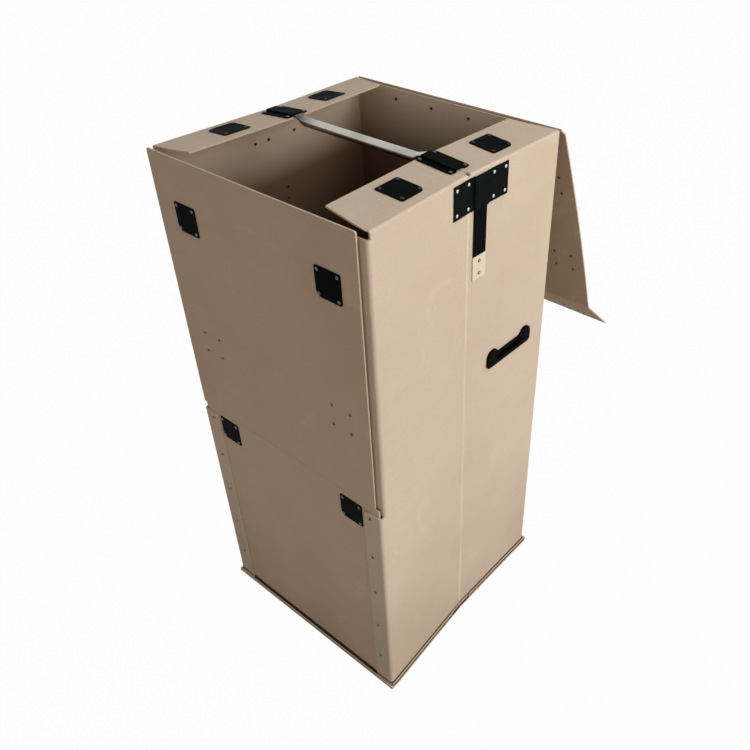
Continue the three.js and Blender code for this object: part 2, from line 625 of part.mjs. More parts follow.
function barKeeper(side) {
  const bore = TONGUE_THICK + 2 * GAP;
  const half = TONGUE_WIDTH / 2 + GAP;
  const frame = keeperFrame(side, keeperLift);
  const flat = prism(roundedRectangle(KEEPER_LENGTH, KEEPER_WIDTH, 6), KEEPER_PLATE, frame, 2);
  const hump = prism(roundedRectangle(KEEPER_LENGTH, 2 * (half + KEEPER_PLATE), 1),
    bore + KEEPER_PLATE, frame, 1);
  const slot = prism(roundedRectangle(2 * KEEPER_LENGTH, 2 * half, 1), 2 * bore,
    keeperFrame(side, keeperLift - bore), 1);
  const places = fourCorners(frame, KEEPER_RIVET_X, KEEPER_RIVET_Y, KEEPER_PLATE);
  return riveted(flat.add(hump).subtract(slot), 'body_wrap', places, KEEPER_PLATE + keeperLift + BOARD);
}

addPiece('bar_keeper_left', barKeeper(-1), blackPlastic);
addPiece('bar_keeper_right', barKeeper(1), blackPlastic);

// The hanger bar: a tube between the flaps, its ends pressed flat and cranked up into tongues
const flapEdge = halfWidth - CREASE_DEPTH - FLAP_DEPTH;
const barZ = flapTop(FLAP_DEPTH) - BAR_DROP;
const tongueZ = (x) => flapTop(KEEPER_FROM_FOLD) + keeperLift + GAP + TONGUE_THICK / 2
  + (keeperX - x) * Math.tan(flapRise);

// A closed solid through cross-sections along X, each with a half height, a half width and a squareness
function loft(sections, sides) {
  const power = (value, exponent) => Math.sign(value) * Math.abs(value) ** exponent;
  const positions = [];
  for (const { x, z, high, wide, square } of sections) {
    for (let k = 0; k < sides; k += 1) {
      const turn = (2 * Math.PI * (k + 0.5)) / sides;
      positions.push(x, CREASE_Y + wide * power(Math.cos(turn), square), z + high * power(Math.sin(turn), square));
    }
  }
  const index = [];
  for (let ring = 0; ring < sections.length - 1; ring += 1) {
    for (let k = 0; k < sides; k += 1) {
      const a = ring * sides + k;
      const b = ring * sides + ((k + 1) % sides);
      index.push(a, b, b + sides, a, b + sides, a + sides);
    }
  }
  const last = (sections.length - 1) * sides;
  for (let k = 1; k < sides - 1; k += 1) {
    index.push(0, k + 1, k, last, last + k, last + k + 1);
  }
  const geometry = new THREE.BufferGeometry();
  geometry.setAttribute('position', new THREE.BufferAttribute(new Float32Array(positions), 3));
  geometry.setIndex(index);
  return solid(geometry);
}

function hangerBar() {
  const r = BAR_DIAMETER / 2;
  const flatFrom = flapEdge - GAP;
  const tip = keeperX + KEEPER_LENGTH / 2 - TONGUE_END_INSET;
  const flat = { high: TONGUE_THICK / 2, wide: TONGUE_WIDTH / 2, square: 0.3 };
  const crankMiddle = { x: flatFrom - CRANK_LENGTH / 2, z: mid(barZ, tongueZ(flatFrom)), high: r / 2,
    wide: r, square: 0.8 };
  const half = [
    { x: flatFrom - CRANK_LENGTH, z: barZ, high: r, wide: r, square: 1 },
    crankMiddle,
    { x: flatFrom, z: tongueZ(flatFrom), ...flat },
    { x: tip, z: tongueZ(tip), ...flat },
  ];
  const mirrored = half.map((section) => ({ ...section, x: -section.x })).reverse();
  return loft([...mirrored, ...half], BAR_SIDES);
}

addPiece('hanging_bar', hangerBar(), steel);

// The front door, folded up about the crease at mid height
const doorTop = HEIGHT - DOOR_TOP_DROP;
const doorFoot = DOOR_FOLD_HEIGHT + GAP;
const doorLeft = -halfWidth + DOOR_LEFT_INSET;
const doorRight = halfWidth - DOOR_RIGHT_INSET;
const door = new THREE.Group();
model.add(door);
for (const side of [-1, 1]) {
  const hand = side < 0 ? 'left' : 'right';
  addPatch(`door_patch_${hand}`, frontFrame(side * doorPatchX, doorPatchZ, doorOuter - GAP),
    'front_door', door);
  const inner = frameAt(vec(side * doorPatchX, doorInner + GAP, earPatchZ), vec(-1, 0, 0), vec(0, 0, 1));
  addPatch(`door_inner_patch_${hand}`, inner, 'front_door', door, true);
}
const doorBoard = prism(roundedRectangle(doorRight - doorLeft, doorTop - doorFoot, DOOR_CORNER), BOARD,
  frontFrame(mid(doorLeft, doorRight), mid(doorTop, doorFoot), doorInner));
addPiece('front_door', cut(doorBoard, holes.front_door), kraft, door);

// The lid, hanging open behind the box: each board is drawn flat in its own frame and turned at its fold
const stripOuter = halfDepth + GAP + BOARD;
const stripTop = HEIGHT - STRIP_TOP_DROP;

function lidStrip() {
  const reach = halfWidth - CORNER_RADIUS;
  const strip = block(-reach, reach, halfDepth + GAP, stripOuter, stripTop - STRIP_HEIGHT, stripTop);
  const places = [];
  const spaces = Math.floor((2 * (reach - STRIP_RIVET_MARGIN)) / STRIP_RIVET_PITCH);
  for (let k = 0; k <= spaces; k += 1) {
    const x = (k - spaces / 2) * STRIP_RIVET_PITCH;
    places.push(frameAt(vec(x, stripOuter, stripTop - STRIP_HEIGHT / 2), vec(-1, 0, 0), vec(0, 0, 1)));
  }
  return riveted(strip, 'body_wrap', places, 2 * BOARD + GAP);
}

addPiece('lid_mounting_strip', lidStrip(), kraft);

// A board seen from the side: it starts at its fold and runs along +Y, bowed upwards, with mitred folds
function panelSolid(length, bow, half, mitreEnd) {
  const steps = bow > 0 ? LID_BOW_STEPS : 1;
  const near = GAP / 2;
  const far = length - near;
  const lift = (y) => (4 * bow * y * (length - y)) / length ** 2;
  const upper = [];
  const lower = [];
  for (let i = 0; i <= steps; i += 1) {
    const y = near + ((far - near) * i) / steps;
    const foot = THREE.MathUtils.clamp(y, MITRE, mitreEnd ? length - MITRE : far);
    upper.push([y, lift(y)]);
    lower.push([foot, lift(foot) - BOARD]);
  }
  const frame = frameAt(vec(-half, 0, 0), vec(0, 1, 0), vec(0, 0, 1));
  return prism(polygon([...lower, ...upper.reverse()]), 2 * half, frame, 1);
}

const lidHalf = halfWidth - LID_SIDE_INSET;
const spineAxisZ = stripTop + (BOARD + GAP) / Math.cos(degrees(SPINE_LOW_DEG));
const spineClosed = degrees(SPINE_CLOSED_DEG);
const lidFlapInner = doorOuter - 3 * GAP - 2 * PLATE - RIVET_HEAD_HEIGHT;
const lidFoldClosedY = stripOuter + SPINE * Math.cos(spineClosed);
const lidLength = lidFoldClosedY - lidFlapInner;
const spine = new THREE.Group();
spine.position.set(0, stripOuter, spineAxisZ);
spine.rotation.x = degrees(SPINE_REST_DEG);
model.add(spine);
addPiece('lid_spine', panelSolid(SPINE, 0, lidHalf, true), kraft, spine);

const lid = new THREE.Group();
lid.position.set(0, SPINE, 0);
lid.rotation.x = degrees(LID_REST_DEG - SPINE_REST_DEG);
spine.add(lid);

const lidFlap = new THREE.Group();
lidFlap.position.set(0, lidLength, 0);
lidFlap.rotation.x = degrees(LID_FLAP_REST_DEG - LID_REST_DEG);
lid.add(lidFlap);

// Patches on the inner faces of the lid, which meet those on the top flaps and on the door when it closes
function boardFrame(x, y, length, bow) {
  const slope = Math.atan((4 * bow * (length - 2 * y)) / length ** 2);
  const normal = vec(0, -Math.sin(slope), Math.cos(slope));
  const lift = (4 * bow * y * (length - y)) / length ** 2;
  const origin = vec(x, y, lift).addScaledVector(normal, GAP);
  return frameAt(origin, vec(1, 0, 0), vec(0, Math.cos(slope), Math.sin(slope)));
}

const flapPatchX = wallOuter(CREASE_Y + FLAP_PATCH_FROM_CREASE) - FLAP_PATCH_FROM_FOLD;
for (const side of [-1, 1]) {
  const hand = side < 0 ? 'left' : 'right';
  for (const end of [-1, 1]) {
    const y = lidFoldClosedY - CREASE_Y - end * FLAP_PATCH_FROM_CREASE;
    addPatch(`lid_patch_${end < 0 ? 'front' : 'back'}_${hand}`,
      boardFrame(side * flapPatchX, y, lidLength, LID_BOW), 'lid_panel', lid);
  }
  addPatch(`lid_flap_patch_${hand}`,
    boardFrame(side * doorPatchX, LID_FLAP_PATCH, LID_FLAP, 0), 'lid_front_flap', lidFlap, true);
}
addPiece('lid_panel', cut(panelSolid(lidLength, LID_BOW, lidHalf, true), holes.lid_panel), kraft, lid);
addPiece('lid_front_flap',
  cut(panelSolid(LID_FLAP, 0, lidHalf, false), holes.lid_front_flap), kraft, lidFlap);
addPiece('body_wrap', cut(bodyWrap(), holes.body_wrap), kraft);

model.updateMatrixWorld(true);

export default model;
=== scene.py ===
"""A folding wardrobe box of solid fibreboard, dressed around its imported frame. Metres, +Z up."""

import math

import bmesh
import bpy
from mathutils import Matrix, Vector
from mathutils.bvhtree import BVHTree


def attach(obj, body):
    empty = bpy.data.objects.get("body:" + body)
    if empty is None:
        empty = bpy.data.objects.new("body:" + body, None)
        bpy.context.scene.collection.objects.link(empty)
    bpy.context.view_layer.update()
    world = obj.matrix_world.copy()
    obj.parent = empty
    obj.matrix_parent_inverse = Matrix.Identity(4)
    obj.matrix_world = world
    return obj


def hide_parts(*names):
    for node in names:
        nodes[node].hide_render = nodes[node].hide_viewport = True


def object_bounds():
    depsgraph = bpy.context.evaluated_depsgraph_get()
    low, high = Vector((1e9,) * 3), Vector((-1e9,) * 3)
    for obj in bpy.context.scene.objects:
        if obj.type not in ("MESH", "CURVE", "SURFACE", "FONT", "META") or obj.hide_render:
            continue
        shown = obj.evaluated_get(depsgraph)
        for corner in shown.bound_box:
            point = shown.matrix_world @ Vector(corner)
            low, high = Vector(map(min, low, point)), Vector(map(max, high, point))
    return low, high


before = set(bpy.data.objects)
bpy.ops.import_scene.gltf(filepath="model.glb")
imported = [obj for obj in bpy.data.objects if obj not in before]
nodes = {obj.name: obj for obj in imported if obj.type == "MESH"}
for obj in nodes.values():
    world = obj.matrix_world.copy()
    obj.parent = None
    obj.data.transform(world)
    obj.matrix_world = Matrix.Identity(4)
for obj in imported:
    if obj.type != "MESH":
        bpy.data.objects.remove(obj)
cad_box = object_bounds()

# Camera, as worked out from the corners of the box in the photograph
CAMERA_PLACE = Vector((0.973, -0.981, 1.723))
CAMERA_FORWARD = Vector((-0.498, 0.645, -0.579))
CAMERA_RIGHT = Vector((0.788, 0.615, 0.008))
FOCAL_PIXELS = 759.4
IMAGE_PIXELS = 750
SENSOR = 36.0
OPTICAL_AXIS_PIXEL = (450.3, 334.8)

# Boards
BOARD = 0.0035
BOARD_BEVEL = 0.0007
PLATE_BEVEL = 0.0004
STRAP_BEVEL = 0.0003
HANDLE_BEVEL = 0.0014
WALL_CREASE_Y = -0.008
WALL_CREASE_HALF = 0.0042
WALL_CREASE_CORE = 0.4
WALL_CREASE_FROM_X = 0.24

# Heights of the painted shade on the inner faces, and of the painted shadow line along the foot
INNER_PAINTED_SHADE_FROM_Z = 1.185
INNER_PAINTED_SHADE_FULL_BELOW_Z = 1.04
LIP_LINE_FROM = 0.0070
LIP_TOP = 0.0128
FOOT_LINE_TOP = 0.0185
FOOT_LINE_START_BLUR = 0.0015
FOOT_LINE_END_BLUR = (-0.0012, 0.0008)

# Hanger bar: a round tube whose ends are pressed flat and cranked up into the keepers
BAR_RADIUS = 0.0095
BAR_Z = 1.20028
CRANK_FROM_X = 0.1397
FLAT_FROM_X = 0.1597
BAR_TIP_X = 0.2350
FLAT_Z = 1.21052
TIP_Z = 1.20393
FLAT_HALF_HEIGHT = 0.0013
FLAT_HALF_WIDTH = 0.0110
FLAT_SQUARENESS = 0.35
BAR_SIDES = 48
TUBE_SHARES = (0.2, 0.6, 0.95, 0.99)
CRANK_STEPS = 10
FLAT_START_STEP = 0.002
FLAT_END_STEP = 0.001
# Span of X over which the bar's left end fades into painted shade
BAR_PAINTED_SHADE_X = (-0.150, -0.105)

# Rivets: the solid heads and tails are six-sided, and the finished ones cover them
RIVET_CORNERS = 6
SOLID_HEAD_CAP = 0.0022
SOLID_HEAD_RISE = 0.0010
SOLID_TAIL_CAP = 0.0030
SOLID_TAIL_RISE = 0.0013
CAP_TOLERANCE = 0.0002
FLANGE_HEAD_GAP = 0.0003
HEAD_RADIUS = 0.0034
HEAD_HEIGHT = 0.00135
RING_RADIUS = 0.0035
RING_HEIGHT = 0.0015
RIVET_SIDES = 16

# Faces this far along a cap's outward axis and this near to that axis belong to its rivet's end
RIVET_END_SPAN = (-0.0016, 0.012)
RIVET_END_WIDTH = 1.1 * HEAD_RADIUS

# Profiles turned about a rivet's axis, as shares of its radius and height
DOME = ((1.0, 0.0), (1.0, 0.25), (0.9, 0.58), (0.72, 0.84), (0.45, 0.96), (0.0, 1.0))
RING = ((1.0, 0.0), (1.0, 0.62), (0.88, 0.94), (0.72, 1.0), (0.56, 0.94), (0.46, 0.62), (0.46, 0.0))

# Mesh clean-up of the carried-over nodes
WELD_DISTANCE = 0.00004
SAME_CORNER = 0.00001
FLAT_ANGLE = math.radians(0.6)
SHARP_ANGLE = math.radians(28)
JUST_INSIDE = 0.00002
DEEPER_THAN_A_BOARD = 1.5 * BOARD

# Limits on a face's normal: upright up to the first, front from the second, level from the third
UPRIGHT_MOST_Z = 0.5
FRONT_LEAST_Y = 0.8
LEVEL_LEAST_Z = 0.9

# Floor
FLOOR_REACH = 30.0
FLOOR_DROP = 0.0002


def rgb(red, green, blue):
    """A colour written as 0 to 255 screen values, as linear light."""

    def linear(value):
        c = value / 255
        return c / 12.92 if c <= 0.04045 else ((c + 0.055) / 1.055) ** 2.4

    return (linear(red), linear(green), linear(blue), 1.0)


SPECK = rgb(132, 100, 70)
PALE_FIBRE = rgb(232, 214, 188)
SCUFF = rgb(228, 208, 180)
BOTTOM_DARK_TONE = rgb(120, 98, 76)
CREASE_WEAR_AND_HIGHLIGHT = rgb(232, 217, 196)
FOOT_PAINTED_SHADOW = rgb(74, 56, 42)
SHADED_STEEL = rgb(44, 42, 40)


class Shader:
    """A material's node tree, with short calls for the nodes used here."""

    def __init__(self, name):
        self.material = bpy.data.materials.new(name)
        self.material.use_nodes = True
        self.tree = self.material.node_tree
        self.bsdf = self.tree.nodes["Principled BSDF"]
        self.coords = self.node("ShaderNodeTexCoord").outputs["Object"]

    def node(self, kind, **settings):
        made = self.tree.nodes.new(kind)
        for key, value in settings.items():
            setattr(made, key, value)
        return made

    def link(self, source, target):
        self.tree.links.new(source, target)

    def fill(self, socket, value):
        """Links a socket to another, or sets it to a plain value."""
        if isinstance(value, bpy.types.NodeSocket):
            self.link(value, socket)
        else:
            socket.default_value = value

    def mapped(self, scale):
        node = self.node("ShaderNodeMapping")
        node.inputs["Scale"].default_value = scale
        self.link(self.coords, node.inputs["Vector"])
        return node.outputs["Vector"]

    def noise(self, scale, detail, roughness, vector=None, distortion=0.0):
        node = self.node("ShaderNodeTexNoise")
        node.inputs["Scale"].default_value = scale
        node.inputs["Detail"].default_value = detail
        node.inputs["Roughness"].default_value = roughness
        node.inputs["Distortion"].default_value = distortion
        self.link(vector or self.coords, node.inputs["Vector"])
        return node.outputs["Fac"]

    def grey(self, source, span, levels):
        """Maps a span of a value onto two levels, and holds them beyond the span."""
        node = self.node("ShaderNodeMapRange")
        for name, value in zip(("From Min", "From Max", "To Min", "To Max"), (*span, *levels)):
            node.inputs[name].default_value = value
        self.link(source, node.inputs["Value"])
        return node.outputs["Result"]

    def mix(self, factor, first, second, blend="MIX"):
        node = self.node("ShaderNodeMix", data_type="RGBA", blend_type=blend)
        for name, value in (("Factor", factor), ("A", first), ("B", second)):
            self.fill([i for i in node.inputs if i.name == name and i.enabled][0], value)
        return [o for o in node.outputs if o.enabled][0]

    def math(self, operation, *values):
        node = self.node("ShaderNodeMath", operation=operation)
        for place, value in zip(node.inputs, values):
            self.fill(place, value)
        return node.outputs["Value"]

    def bump(self, height, strength, distance):
        """Adds a bump on top of those already there."""
        node = self.node("ShaderNodeBump")
        node.inputs["Strength"].default_value = strength
        node.inputs["Distance"].default_value = distance
        self.link(height, node.inputs["Height"])
        normal = self.bsdf.inputs["Normal"]
        if normal.links:
            self.link(normal.links[0].from_socket, node.inputs["Normal"])
        self.link(node.outputs["Normal"], normal)

    def axes(self):
        node = self.node("ShaderNodeSeparateXYZ")
        self.link(self.coords, node.inputs["Vector"])
        return node.outputs

    def surface(self, color, roughness, specular):
        self.fill(self.bsdf.inputs["Base Color"], color)
        self.fill(self.bsdf.inputs["Roughness"], roughness)
        self.bsdf.inputs["Specular IOR Level"].default_value = specular


def wall_crease(s):
    """1 on the line down the middle of each side wall that is painted lighter, as worn fibre and a painted
    highlight on the crease, 0 elsewhere.
    """
    x, y, _ = s.axes()
    off = s.math("ABSOLUTE", s.math("SUBTRACT", y, WALL_CREASE_Y))
    line = s.grey(off, (WALL_CREASE_HALF * WALL_CREASE_CORE, WALL_CREASE_HALF), (1.0, 0.0))
    outside = s.math("GREATER_THAN", s.math("ABSOLUTE", x), WALL_CREASE_FROM_X)
    return s.math("MULTIPLY", line, outside)


def foot_shadow_line(s, start):
    """1 on a narrow band of painted shadow along the foot, from a height to just above the tray's lips, 0
    elsewhere.
    """
    height = s.axes()["Z"]
    above = s.grey(height, (start - FOOT_LINE_START_BLUR, start), (0.0, 1.0))
    below = s.grey(height, [FOOT_LINE_TOP + blur for blur in FOOT_LINE_END_BLUR], (1.0, 0.0))
    return s.math("MULTIPLY", above, below)


def board_material(name, face, dark, speck=SPECK, fibre=0.16, creased=False, foot=None, deep=None):
    """Solid kraft fibreboard: cloudy pulp, faint rolling streaks, short fibres, scuffs, and a darker tone
    towards the foot.

    creased adds the walls' crease line of worn fibre and painted highlight, foot is the height where a painted
    shadow line starts, and deep is the colour of the painted shade that the inner faces turn to lower down.
    """
    s = Shader(name)
    clouds = s.noise(2.6, detail=4.0, roughness=0.6)
    color = s.mix(s.grey(clouds, (0.36, 0.68), (0.0, 0.65)), face, dark)
    streaks = s.noise(5.0, detail=5.0, roughness=0.65, vector=s.mapped((1.0, 1.0, 9.0)))
    color = s.mix(s.grey(streaks, (0.38, 0.7), (0.0, fibre)), color, dark)
    stretched = s.mapped((1.0, 1.0, 2.6))
    fibres = s.noise(240.0, detail=4.0, roughness=0.7, vector=stretched, distortion=0.4)
    color = s.mix(s.grey(fibres, (0.42, 0.74), (0.0, fibre)), color, speck)
    pale = s.noise(190.0, detail=3.0, roughness=0.65, vector=s.mapped((1.0, 1.0, 2.2)))
    color = s.mix(s.grey(pale, (0.54, 0.76), (0.0, 0.2)), color, PALE_FIBRE)
    scuffs = s.noise(6.0, detail=7.0, roughness=0.74, distortion=1.8)
    color = s.mix(s.grey(scuffs, (0.57, 0.72), (0.0, 0.26)), color, SCUFF)
    # Darker towards the bottom of each board, mottled by the clouds
    near_foot = s.grey(s.axes()["Z"], (0.0, 0.42), (0.26, 0.0))
    bottom_dark = s.math("MULTIPLY", near_foot, s.grey(clouds, (0.3, 0.7), (0.5, 1.0)))
    color = s.mix(bottom_dark, color, BOTTOM_DARK_TONE, "MULTIPLY")
    if creased:
        # The crease line is lighter: worn fibre and a painted highlight
        crease = s.math("MULTIPLY", wall_crease(s), s.grey(scuffs, (0.3, 0.6), (0.15, 0.6)))
        color = s.mix(crease, color, CREASE_WEAR_AND_HIGHLIGHT)
    # Painted shadow: a dark line along the foot, on the wall just above the tray's lips and on the lips' outer
    # faces
    if foot:
        color = s.mix(foot_shadow_line(s, foot), color, FOOT_PAINTED_SHADOW)
    # Painted shade: the inner faces turn to the deep colour lower down inside the box
    if deep:
        depth = s.grey(s.axes()["Z"], (INNER_PAINTED_SHADE_FULL_BELOW_Z, INNER_PAINTED_SHADE_FROM_Z), (1.0, 0.0))
        color = s.mix(depth, color, deep)
    s.surface(color, s.grey(fibres, (0.0, 1.0), (0.66, 0.86)), specular=0.22)
    s.bump(fibres, strength=0.09, distance=0.0004)
    s.bump(streaks, strength=0.08, distance=0.0012)
    s.bump(s.noise(4.0, detail=2.0, roughness=0.5), strength=0.30, distance=0.007)
    return s.material


def edge_material(name):
    """The cut edge of the board: paler plies with fine layer lines."""
    s = Shader(name)
    plies = s.noise(900.0, detail=2.0, roughness=0.6)
    color = s.mix(s.grey(plies, (0.3, 0.75), (0.0, 0.75)), rgb(222, 203, 176), rgb(164, 136, 106))
    s.surface(color, roughness=0.9, specular=0.15)
    s.bump(plies, strength=0.4, distance=0.0005)
    return s.material


def plastic_material(name, color, dusty, roughness):
    """Black plastic: fine grain with a little dust and rubbed spots."""
    s = Shader(name)
    dust = s.noise(34.0, detail=6.0, roughness=0.7)
    grain = s.noise(1100.0, detail=2.0, roughness=0.5)
    rubbed = s.mix(s.grey(dust, (0.48, 0.82), (0.0, 0.45)), color, dusty)
    grained = s.mix(s.grey(grain, (0.5, 0.8), (0.0, 0.25)), rubbed, dusty)
    uneven = s.grey(dust, (0.3, 0.7), (roughness - 0.08, roughness + 0.14))
    s.surface(grained, uneven, specular=0.01)
    s.bump(grain, strength=0.3, distance=0.0003)
    return s.material


def webbing_material(name):
    """Woven black strap: rows of crossing threads."""
    s = Shader(name)
    waves = []
    for direction in ("Y", "Z"):
        wave = s.node("ShaderNodeTexWave", wave_type="BANDS", bands_direction=direction)
        wave.inputs["Scale"].default_value = 260.0
        wave.inputs["Distortion"].default_value = 0.6
        s.link(s.coords, wave.inputs["Vector"])
        waves.append(wave.outputs["Fac"])
    threads = s.math("MULTIPLY", *waves)
    s.surface(s.mix(threads, rgb(5, 7, 7), rgb(17, 19, 19)), roughness=0.85, specular=0.01)
    s.bsdf.inputs["Sheen Weight"].default_value = 0.02
    s.bump(threads, strength=0.6, distance=0.0005)
    return s.material


def metal_material(name, color, smudged, roughness, streaks=(4.0, 4.0, 4.0), painted_shade_end=False):
    """Metal with faint smudges and a drawn finish, whose scale is streaks. Its left end can carry painted
    shade.
    """
    s = Shader(name)
    drawn = s.noise(40.0, detail=3.0, roughness=0.6, vector=s.mapped(streaks))
    smudge = s.noise(24.0, detail=4.0, roughness=0.6)
    color = s.mix(s.grey(smudge, (0.42, 0.75), (0.0, 0.6)), color, smudged)
    if painted_shade_end:
        # Painted shade on the bar's left end, by the keeper
        color = s.mix(s.grey(s.axes()["X"], BAR_PAINTED_SHADE_X, (0.85, 0.0)), color, SHADED_STEEL)
    s.fill(s.bsdf.inputs["Base Color"], color)
    s.fill(s.bsdf.inputs["Roughness"], s.grey(drawn, (0.0, 1.0), roughness))
    s.bsdf.inputs["Metallic"].default_value = 1.0
    s.bump(drawn, strength=0.08, distance=0.0003)
    return s.material


KRAFT_WRAP = board_material("kraft_wrap", rgb(214, 194, 172), rgb(198, 176, 153), creased=True, foot=LIP_TOP)
# Front-facing faces of the wrap: a darker, warmer copy of its board, as painted shade
KRAFT_FLANGE_PAINTED_SHADE = board_material("kraft_flange_with_painted_shade", rgb(206, 182, 157), rgb(188, 163, 138), foot=LIP_TOP)
# Inner faces: pale at the top and turning dark brown lower down, as painted shade
KRAFT_INNER_PAINTED_SHADE = board_material("kraft_inner_with_painted_shade", rgb(230, 207, 182), rgb(214, 188, 162), deep=rgb(104, 80, 60))
# The tray's floor and the insides of its lips: dark brown board, as painted shade under the box
KRAFT_TRAY_FLOOR_PAINTED_SHADE = board_material("kraft_tray_floor_with_painted_shade", rgb(92, 72, 54), rgb(74, 56, 41), rgb(60, 44, 32))
# The lid: a darker copy of the board, as painted shade
KRAFT_LID_PAINTED_SHADE = board_material("kraft_lid_with_painted_shade", rgb(190, 165, 139), rgb(170, 144, 118))
# The front door and lower panel: a darker, warmer copy of the board, as painted shade
KRAFT_FRONT_PAINTED_SHADE = board_material("kraft_front_with_painted_shade", rgb(204, 174, 146), rgb(186, 157, 130))
KRAFT_PALE = board_material("kraft_tray", rgb(206, 184, 156), rgb(184, 160, 132), foot=LIP_LINE_FROM)
CREAM = board_material("cream_board", rgb(230, 214, 194), rgb(216, 198, 176), rgb(190, 168, 142), 0.12)
EDGE = edge_material("board_edge")
BLACK = plastic_material("black_plate", rgb(4, 6, 5), rgb(17, 20, 19), 0.5)
DUSTY_BLACK = plastic_material("dusty_plate", rgb(14, 17, 16), rgb(38, 42, 39), 0.5)
HANDLE_BLACK = plastic_material("handle_black", rgb(5, 5, 5), rgb(18, 19, 19), 0.42)
WEBBING = webbing_material("webbing")
CHROME = metal_material(
    "bright_steel", rgb(184, 180, 174), rgb(128, 122, 115), (0.18, 0.3), (0.6, 30.0, 30.0), painted_shade_end=True
)
RIVET = metal_material("rivet_head", rgb(204, 202, 198), rgb(150, 146, 140), (0.24, 0.42))
RIVET_GREY = metal_material("rivet_head_grey", rgb(92, 91, 88), rgb(60, 58, 55), (0.34, 0.5))
RIVET_DARK = metal_material("rivet_head_dark", rgb(58, 58, 57), rgb(38, 38, 37), (0.4, 0.6))
RIVET_DULL = metal_material("rivet_ring", rgb(122, 104, 84), rgb(70, 58, 46), (0.45, 0.65))
# Nearly black metal on the rivet ends inside the rolled rings: painted shade of the rivet holes
RIVET_HOLE_PAINTED_SHADE = metal_material("rivet_hole_with_painted_shade", rgb(28, 24, 20), rgb(14, 12, 10), (0.7, 0.9))


def soften(node, width, segments):
    """Carried-over nodes keep their mesh: modifiers weld it, join its flat faces and soften its edges."""
    mesh = node.data
    if "custom_normal" in mesh.attributes:
        mesh.attributes.remove(mesh.attributes["custom_normal"])
    weld = node.modifiers.new("weld", "WELD")
    weld.merge_threshold = WELD_DISTANCE
    flat = node.modifiers.new("flat_faces", "DECIMATE")
    flat.decimate_type = "DISSOLVE"
    flat.angle_limit = FLAT_ANGLE
    flat.delimit = {"MATERIAL"}
    soft = node.modifiers.new("soft_edges", "BEVEL")
    soft.width = width
    soft.segments = segments
    soft.limit_method = "ANGLE"
    soft.angle_limit = SHARP_ANGLE
    for polygon in mesh.polygons:
        polygon.use_smooth = False


def frame_of(origin, outward, along):
    """A placing whose Z points outward and whose X lies as near along as it can."""
    z = outward.normalized()
    x = (along - along.dot(z) * z).normalized()
    matrix = Matrix((x, z.cross(x), z)).transposed().to_4x4()
    matrix.translation = origin
    return matrix


def rivet_caps(name):
    """The flat ends of a node's rivets: a list of placings for the heads and one for the tails, Z outwards."""
    whole = bmesh.new()
    whole.from_mesh(nodes[name].data)
    bmesh.ops.remove_doubles(whole, verts=whole.verts, dist=SAME_CORNER)
    bmesh.ops.dissolve_limit(whole, angle_limit=FLAT_ANGLE, verts=whole.verts, edges=whole.edges)
    heads, tails = [], []
    for face in whole.faces:
        if len(face.verts) != RIVET_CORNERS:
            continue
        middle = face.calc_center_median()
        to_corner = face.verts[0].co - middle
        for found, radius in ((heads, SOLID_HEAD_CAP), (tails, SOLID_TAIL_CAP)):
            if abs(to_corner.length - radius) < CAP_TOLERANCE:
                found.append(frame_of(middle, face.normal, to_corner))
    whole.free()
    return heads, tails


def on_rivet(point, caps):
    """Whether a point of a mesh lies on one of the rivet ends that have these caps."""
    for cap in caps:
        away = point - cap.translation
        outward = cap.col[2].xyz
        deep = away.dot(outward)
        aside = (away - deep * outward).length
        if RIVET_END_SPAN[0] < deep < RIVET_END_SPAN[1] and aside < RIVET_END_WIDTH:
            return True
    return False


def dress(name, material, width=PLATE_BEVEL, segments=2, edge=None, picks=()):
    """Gives a node its materials and soft edges, and returns its rivets' caps.

    With an edge material, faces deeper than a board are its cut edges, and each pick is a material with a test
    for the board faces that have it.
    """
    node = nodes[name]
    mesh = node.data
    mesh.materials.clear()
    for each in (material, edge or material, RIVET_HOLE_PAINTED_SHADE, *(finish for finish, _ in picks)):
        mesh.materials.append(each)
    plain, cut, pit, first_pick = range(4)
    faces = [tuple(polygon.vertices) for polygon in mesh.polygons]
    tree = BVHTree.FromPolygons([vertex.co for vertex in mesh.vertices], faces)
    heads, tails = rivet_caps(name)
    for polygon in mesh.polygons:
        index = plain
        if edge:
            inward = -polygon.normal
            depth = tree.ray_cast(polygon.center + inward * JUST_INSIDE, inward)[3]
            if depth is None or depth > DEEPER_THAN_A_BOARD:
                index = cut
            else:
                index = next((first_pick + k for k, (_, test) in enumerate(picks) if test(polygon)), plain)
        # Rivet ends get the painted shade of the rivet holes
        if on_rivet(polygon.center, tails) or (edge and on_rivet(polygon.center, heads)):
            index = pit
        polygon.material_index = index
    soften(node, width, segments)
    return heads, tails


def join_rings(target, low, high, smooth=True):
    """Joins two rings of corners by faces. The second may be a single point."""
    for k, corner in enumerate(low):
        after = (k + 1) % len(low)
        far = (high[0],) if len(high) == 1 else (high[after], high[k])
        target.faces.new((corner, low[after], *far)).smooth = smooth


def new_piece(name, target, material, body):
    """Turns a mesh under construction into a steel piece that rides on a body."""
    mesh = bpy.data.meshes.new(name)
    target.to_mesh(mesh)
    target.free()
    mesh.materials.append(material)
    piece = bpy.data.objects.new(name, mesh)
    bpy.context.scene.collection.objects.link(piece)
    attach(piece, body)
    return piece


def turned(target, profile, place, radius, height):
    """Adds a shape turned about a placing's Z to a mesh, and returns its rings of corners."""
    rings = []
    for share, rise in profile:
        ring = []
        for k in range(RIVET_SIDES if share else 1):
            turn = 2 * math.pi * k / RIVET_SIDES
            at = Vector((math.cos(turn) * share * radius, math.sin(turn) * share * radius, rise * height))
            ring.append(target.verts.new(place @ at))
        rings.append(ring)
    for low, high in zip(rings, rings[1:]):
        join_rings(target, low, high)
    return rings


